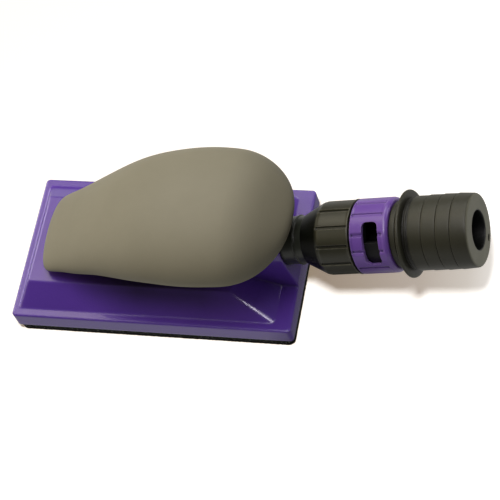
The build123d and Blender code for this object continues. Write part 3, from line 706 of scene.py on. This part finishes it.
# ------------------------------------------------------------------ regulator ring
RING_R, RING_STEP, RING_BORE = 15.65, 0.75, 13.42
RING_PROFILE = [(31.35, RING_BORE, 0.15), (31.35, RING_R, 0.45), (46.7, RING_R, 1.0),
                (47.9, 14.75, 0.5), (47.9, RING_BORE, 0.15)]
WINDOW_S, WINDOW_HALF, WINDOW_CORNER = 40.2, 3.5, 2.1
WINDOW_ANGLE, WINDOW_HALF_ANGLE = 44.6, 35.0
KEY_S, KEY_R, KEY_ANGLES = (39.35, 41.05), (12.55, 13.6), (194.2, 205.8)


def ring_shape(s, r, degrees):
    """Shallow flutes between six lobes, and two deep grooves to each lobe."""
    depth = flutes(degrees, lobe=12.5, gap=34.0, blend=2.0) * 0.35
    for first in (29.5, 55.5):
        depth = np.maximum(depth, grooves(degrees, first, pitch=60.0, flat=1.2, reach=3.4))
    along = ease((s - 31.65) / 0.35) * ease((45.8 - s) / 0.7)
    return r - RING_STEP * depth * along * (r > 14.9)


def ring_window():
    """Cutter for the rounded opening in the wall, up and to the front."""
    out = radial(math.radians(WINDOW_ANGLE))
    around = np.cross(HOSE_AXIS, out)
    half = RING_R * math.sin(math.radians(WINDOW_HALF_ANGLE))
    outline = rounded_rect(-WINDOW_HALF, WINDOW_HALF, -half, half, WINDOW_CORNER, steps=10)
    centre = HOSE_ORIGIN + HOSE_AXIS * WINDOW_S
    return prism(*[[centre + HOSE_AXIS * x + around * y + out * r for x, y in outline]
                   for r in (5.0, 20.0)])


def build_key():
    """Small block on the ring's inner face."""
    corners = [HOSE_ORIGIN + HOSE_AXIS * s + radial(math.radians(a)) * r
               for r in KEY_R for s in KEY_S for a in KEY_ANGLES]
    faces = [(0, 1, 3, 2), (4, 6, 7, 5), (0, 4, 5, 1), (2, 3, 7, 6), (0, 2, 6, 4), (1, 5, 7, 3)]
    key = make("ring_key", corners, faces, "ring_purple")
    bevel = key.modifiers.new("soft", "BEVEL")
    bevel.width, bevel.segments = 0.00015, 2
    return key


def build_ring():
    shape = turned(RING_PROFILE, corner_steps=6, side=0.45, around=900, shape=ring_shape)
    ring = make("bleed_ring", *shape, "ring_purple", smooth=38)
    cut(ring, "ring_purple", ring_window())
    key = build_key()
    resmooth(ring, 38)
    register(ring, "regulator_ring", "ring")
    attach(key, "ring")


build_ring()

# ------------------------------------------------------------------ hose adapter
CUFF_END, CUFF_BORE, SOCKET_R = 81.8, 8.1, 11.83
# start s, end s, start r, end r, rounding of the far corner
BARBS = [(56.7, 62.2, 15.45, 15.3, 0.2), (62.6, 68.4, 15.6, 15.4, 0.2),
         (68.8, 74.5, 15.65, 15.4, 0.2), (74.9, CUFF_END, 15.65, 15.15, 1.1)]
CUFF_PROFILE = [
    (48.02, SOCKET_R, 0.1), (48.02, 13.9, 0.5), (50.35, 13.9, 0.2), (50.55, 13.3, 0.1),
    (51.1, 13.3, 0.1), (51.3, 14.5, 0.2), (52.0, 14.8, 0.4), (52.2, 17.2, 0.5),
    (52.5, 18.2, 0.6), (53.5, 18.2, 0.6), (53.8, 17.2, 0.5), (53.95, 15.0, 0.4),
    (54.1, 14.5, 0.2), (54.75, 14.5, 0.15), (54.9, 15.25, 0.2), (55.75, 15.3, 0.15),
    (55.95, 14.95, 0.1), (56.4, 14.95, 0.1)]
for s0, s1, r0, r1, corner in BARBS:
    CUFF_PROFILE += [(s0 - 0.28, r0 - 0.75, 0.08), (s0 - 0.1, r0 - 0.05, 0.25), (s1, r1, corner)]
CUFF_PROFILE += [
    (CUFF_END, CUFF_BORE, 0.45), (60.2, CUFF_BORE, 0.1), (59.6, 8.5, 0.1),
    (59.6, SOCKET_R, 0.1), (54.05, SOCKET_R, 0.1), (53.25, 12.43, 0.1), (52.25, 12.43, 0.1),
    (51.95, SOCKET_R, 0.1)]
NOTCH_S, NOTCH_R, NOTCH_ANGLE = 81.9, 12.1, 195
NOTCH_HALF_OUT, NOTCH_HALF_AROUND = 1.0, 1.7


def end_notch():
    """Cutter for a small oval notch in the end face."""
    out = radial(math.radians(NOTCH_ANGLE))
    around = np.cross(HOSE_AXIS, out)
    centre = HOSE_ORIGIN + HOSE_AXIS * NOTCH_S + out * NOTCH_R
    unit = circle(0, 0, [1.0] * 16)
    return prism(*[[centre + HOSE_AXIS * s + out * NOTCH_HALF_OUT * x
                    + around * NOTCH_HALF_AROUND * y for x, y in unit] for s in (-0.9, 1.0)])


def build_adapter():
    shape = turned(CUFF_PROFILE, corner_steps=5, side=1.6, around=360)
    adapter = make("hose_cuff", *shape, "adapter_rubber", smooth=38)
    cut(adapter, "adapter_rubber", end_notch())
    resmooth(adapter, 38)
    register(adapter, "hose_adapter", "hose")


build_adapter()

# ------------------------------------------------------------------ neck tube
NECK_BORE, NECK_R, FRONT_R, GROOVE_R = 8.0, 10.1, 9.8, 8.7
NECK_PROFILE = [
    (-15.17, NECK_BORE, 0.1), (-15.17, NECK_R, 0.4), (-6.6, NECK_R, 0.1), (-6.6, GROOVE_R, 0.1),
    (-5.0, GROOVE_R, 0.1), (-5.0, NECK_R, 0.1), (2.85, NECK_R, 0.3), (3.1, 10.6, 0.3),
    (3.6, 10.6, 0.3), (3.85, NECK_R, 0.3), (11.65, NECK_R, 0.1), (11.65, 11.9, 0.1),
    (13.9, 11.9, 0.1), (13.9, FRONT_R, 0.1), (17.0, FRONT_R, 0.1), (17.0, GROOVE_R, 0.1),
    (18.4, GROOVE_R, 0.1), (18.4, FRONT_R, 0.1), (21.0, FRONT_R, 0.4), (21.0, NECK_BORE, 0.1)]
PILOT_X, PILOT_R = 54.2, 1.4


def build_neck():
    shape = turned(NECK_PROFILE, corner_steps=4, side=2.0, around=240)
    neck = make("neck_pipe", *shape, "neck_black", smooth=38)
    # pilot hole through the underside
    cut(neck, "neck_black", upright(circle(PILOT_X, 0.0, [PILOT_R] * 28), 13.0, 20.4))
    resmooth(neck, 38)
    register(neck, "neck_tube", "block")


build_neck()


# ------------------------------------------------------------------ camera
def build_camera():
    """Long lens, above the block and in front of it on the hose side."""
    azimuth, elevation, roll = 0.551713563, 1.00495782, -0.428576763
    ca, sa = math.cos(azimuth), math.sin(azimuth)
    ce, se = math.cos(elevation), math.sin(elevation)
    cr, sr = math.cos(roll), math.sin(roll)
    right = Vector((ca, sa, 0))
    back = Vector((sa * ce, -ca * ce, se))
    up = back.cross(right)
    X = right * cr + up * sr
    Y = -right * sr + up * cr
    aim = Vector((0, 0, 13.4))
    place = (X * 37.9325547 + Y * 1.22387044 + back * 855.081692 + aim) * MM
    data = bpy.data.cameras.new("camera")
    data.sensor_width = 36
    data.lens = 140.32224
    data.clip_start, data.clip_end = 0.05, 20
    camera = bpy.data.objects.new("camera", data)
    bpy.context.scene.collection.objects.link(camera)
    rows = [(X[i], Y[i], back[i], place[i]) for i in range(3)]
    camera.matrix_world = Matrix((*rows, (0, 0, 0, 1)))
    bpy.context.scene.camera = camera


# ------------------------------------------------------------------ floor
def floor_paper():
    """White paper that looks one way to the camera and lights the object another way."""
    m = Material("floor")
    m.set(Base_Color=(0.9, 0.9, 0.9, 1), Roughness=0.95, Specular_IOR_Level=0.0)
    place = m.node("NewGeometry").outputs["Position"]
    x, y, _ = m.axes(place)

    # what the object sees and is lit by: dimmer under and beside the hose, and in front
    off_hose = m.math("ABSOLUTE", m.math("ADD", y, 0.004))
    beside = m.ramp(m.product(off_hose, 5.0), [(0.12, 1.0), (0.30, 0.6), (0.8, 0.0)])
    under = m.ramp(m.product(x, 4.0),
                   [(0.20, 0.0), (0.27, 1.0), (0.36, 1.0), (0.46, 0.25), (0.85, 0.0)])
    hose_shade = m.math("SUBTRACT", 1.0, m.product(beside, under, 0.8))
    front = m.ramp(m.product(y, -5.0), [(0.15, 1.0), (0.19, 0.84), (0.4, 0.84), (0.9, 1.0)])
    bounce = m.node("Emission", {"Color": (0.66, 0.65, 0.63, 1),
                                 "Strength": m.product(hose_shade, front)})

    # what the camera sees: lit paper, its shade tan near the object and white far off
    tone = m.ramp(m.product(x, 4.0), [
        (0.28, (0.29, 0.225, 0.155, 1)), (0.45, (0.42, 0.36, 0.29, 1)),
        (0.53, (0.56, 0.51, 0.45, 1)), (0.61, (0.86, 0.83, 0.80, 1))])
    distance = m.vector_math("LENGTH", place).outputs["Value"]
    tone = m.mix(m.ramp(distance, [(0.26, 0.0), (0.5, 1.0)]), tone, (1, 1, 1, 1))
    glow = m.node("Emission", {"Color": tone})
    seen = m.node("AddShader", {0: m.bsdf.outputs[0], 1: glow.outputs[0]})
    camera_ray = m.node("LightPath").outputs["Is Camera Ray"]
    pick = m.node("MixShader", {0: camera_ray, 1: bounce.outputs[0], 2: seen.outputs[0]})
    m.feed(m.output.inputs[0], pick.outputs[0])
    return m.data


def build_floor():
    bm = bmesh.new()
    bmesh.ops.create_grid(bm, x_segments=4, y_segments=4, size=3.0)
    mesh = bpy.data.meshes.new("floor")
    bm.to_mesh(mesh)
    bm.free()
    floor = bpy.data.objects.new("floor", mesh)
    floor.location = (0, 0, -0.0004)
    bpy.context.scene.collection.objects.link(floor)
    floor.data.materials.append(floor_paper())
    return floor


build_camera()
floor = build_floor()

# ------------------------------------------------------------------ lights
WHITE = (1, 1, 1)
# Soft surroundings: bright above, behind and to the left, darker in front. Two rigs from the same
# places, one for the matt grip and one for everything else, so that each can be balanced.
# name, place, size, then power and colour for the rest, power and colour for the grip
SOFT_LIGHTS = [
    ("back_left", (-0.4215, 0.684, 1.266), 1.1, (3.6, (1.0, 0.94, 0.80)), (5.6, (1.0, 0.98, 0.95))),
    ("top", (0.0, 0.0, 1.5), 0.9, (8.6, WHITE), (4.2, WHITE)),
    ("right", (1.38, -0.075, 0.585), 0.8, (1.9, WHITE), None),
    ("left", (-1.38, 0.0, 0.585), 0.8, (4.8, (1.0, 0.87, 0.64)), (3.7, (1.0, 0.89, 0.74))),
    ("right_back", (0.9, 0.9, 0.795), 0.7, (3.3, (1, 0.98, 0.94)), (0.5, WHITE)),
    ("left_back", (-0.975, 0.675, 0.915), 0.7, (1.8, (1, 0.93, 0.72)), (2.4, WHITE)),
    ("left_front", (-1.05, -0.45, 0.975), 0.7, (1.5, (1.0, 0.9, 0.62)), (2.2, (1.0, 0.92, 0.82))),
    ("top_right", (0.75, 0.15, 1.29), 0.6, (0.25, WHITE), None),
    ("back", (-0.15, 1.125, 0.975), 0.7, (4.1, WHITE), (5.7, WHITE)),
    ("upper_left", (-0.42, 0.42, 1.35), 0.6, (1.9, (1.0, 0.88, 0.68)), (5.9, (1.0, 0.92, 0.82))),
]


def area(name, place, size, power, color, target=(0.03, 0, 0.02)):
    data = bpy.data.lights.new(name, "AREA")
    data.shape = "DISK"
    data.size = size
    data.energy = power
    data.color = color
    light = bpy.data.objects.new(name, data)
    light.location = place
    light.rotation_mode = "QUATERNION"
    light.rotation_quaternion = (Vector(target) - Vector(place)).to_track_quat("-Z", "Y")
    bpy.context.scene.collection.objects.link(light)
    return light


def light_only(name, receivers, lights):
    """Makes the lights reach only the receivers."""
    group = bpy.data.collections.new(name)
    for obj in receivers:
        group.objects.link(obj)
    for light in lights:
        light.light_linking.receiver_collection = group


def build_lights():
    grip_rig, rest_rig = [], []
    for name, place, size, for_rest, for_grip in SOFT_LIGHTS:
        rest_rig.append(area(name, place, size, *for_rest))
        if for_grip:
            grip_rig.append(area(name + "_grip", place, size, *for_grip))
    ridge = area("ridge_glint", (-1.2, 0.63, 0.645), size=0.6, power=6.0,
                 color=(1.0, 0.95, 1.0), target=(0.0, 0, 0.02))
    ridge.visible_diffuse = False
    glint = area("glint", (0.262, -0.40, 1.445), size=0.34, power=4.5, color=(1.0, 0.93, 1.0))
    glint.visible_diffuse = False
    rest_rig.append(glint)
    # crisp key that only draws the hose's shadow on the paper
    floor_key = area("floor_key", (0.262, -0.37, 1.455), size=0.22, power=24.0,
                     color=(1.0, 0.99, 0.97))
    rest = [o for o in bpy.data.objects if o.type == "MESH" and o not in (floor, grip)]
    light_only("only_floor", [floor], [floor_key])
    light_only("grip_only", [grip], grip_rig)
    light_only("rest_only", rest, rest_rig)
    light_only("shell_only", [NODES["base_shell"]], [ridge])


def build_world():
    """White wall behind, with little light from it."""
    world = bpy.data.worlds.new("world")
    bpy.context.scene.world = world
    world.use_nodes = True
    tree = world.node_tree
    background = tree.nodes["Background"]
    background.inputs[0].default_value = (1, 1, 1, 1)
    path = tree.nodes.new("ShaderNodeLightPath")
    strength = tree.nodes.new("ShaderNodeMath")
    strength.operation = "MULTIPLY_ADD"
    strength.inputs[1].default_value = 0.90        # added for camera rays
    strength.inputs[2].default_value = 0.07        # for every ray
    tree.links.new(path.outputs["Is Camera Ray"], strength.inputs[0])
    tree.links.new(strength.outputs[0], background.inputs[1])


build_lights()
build_world()
bpy.context.scene.view_settings.view_transform = "Standard"
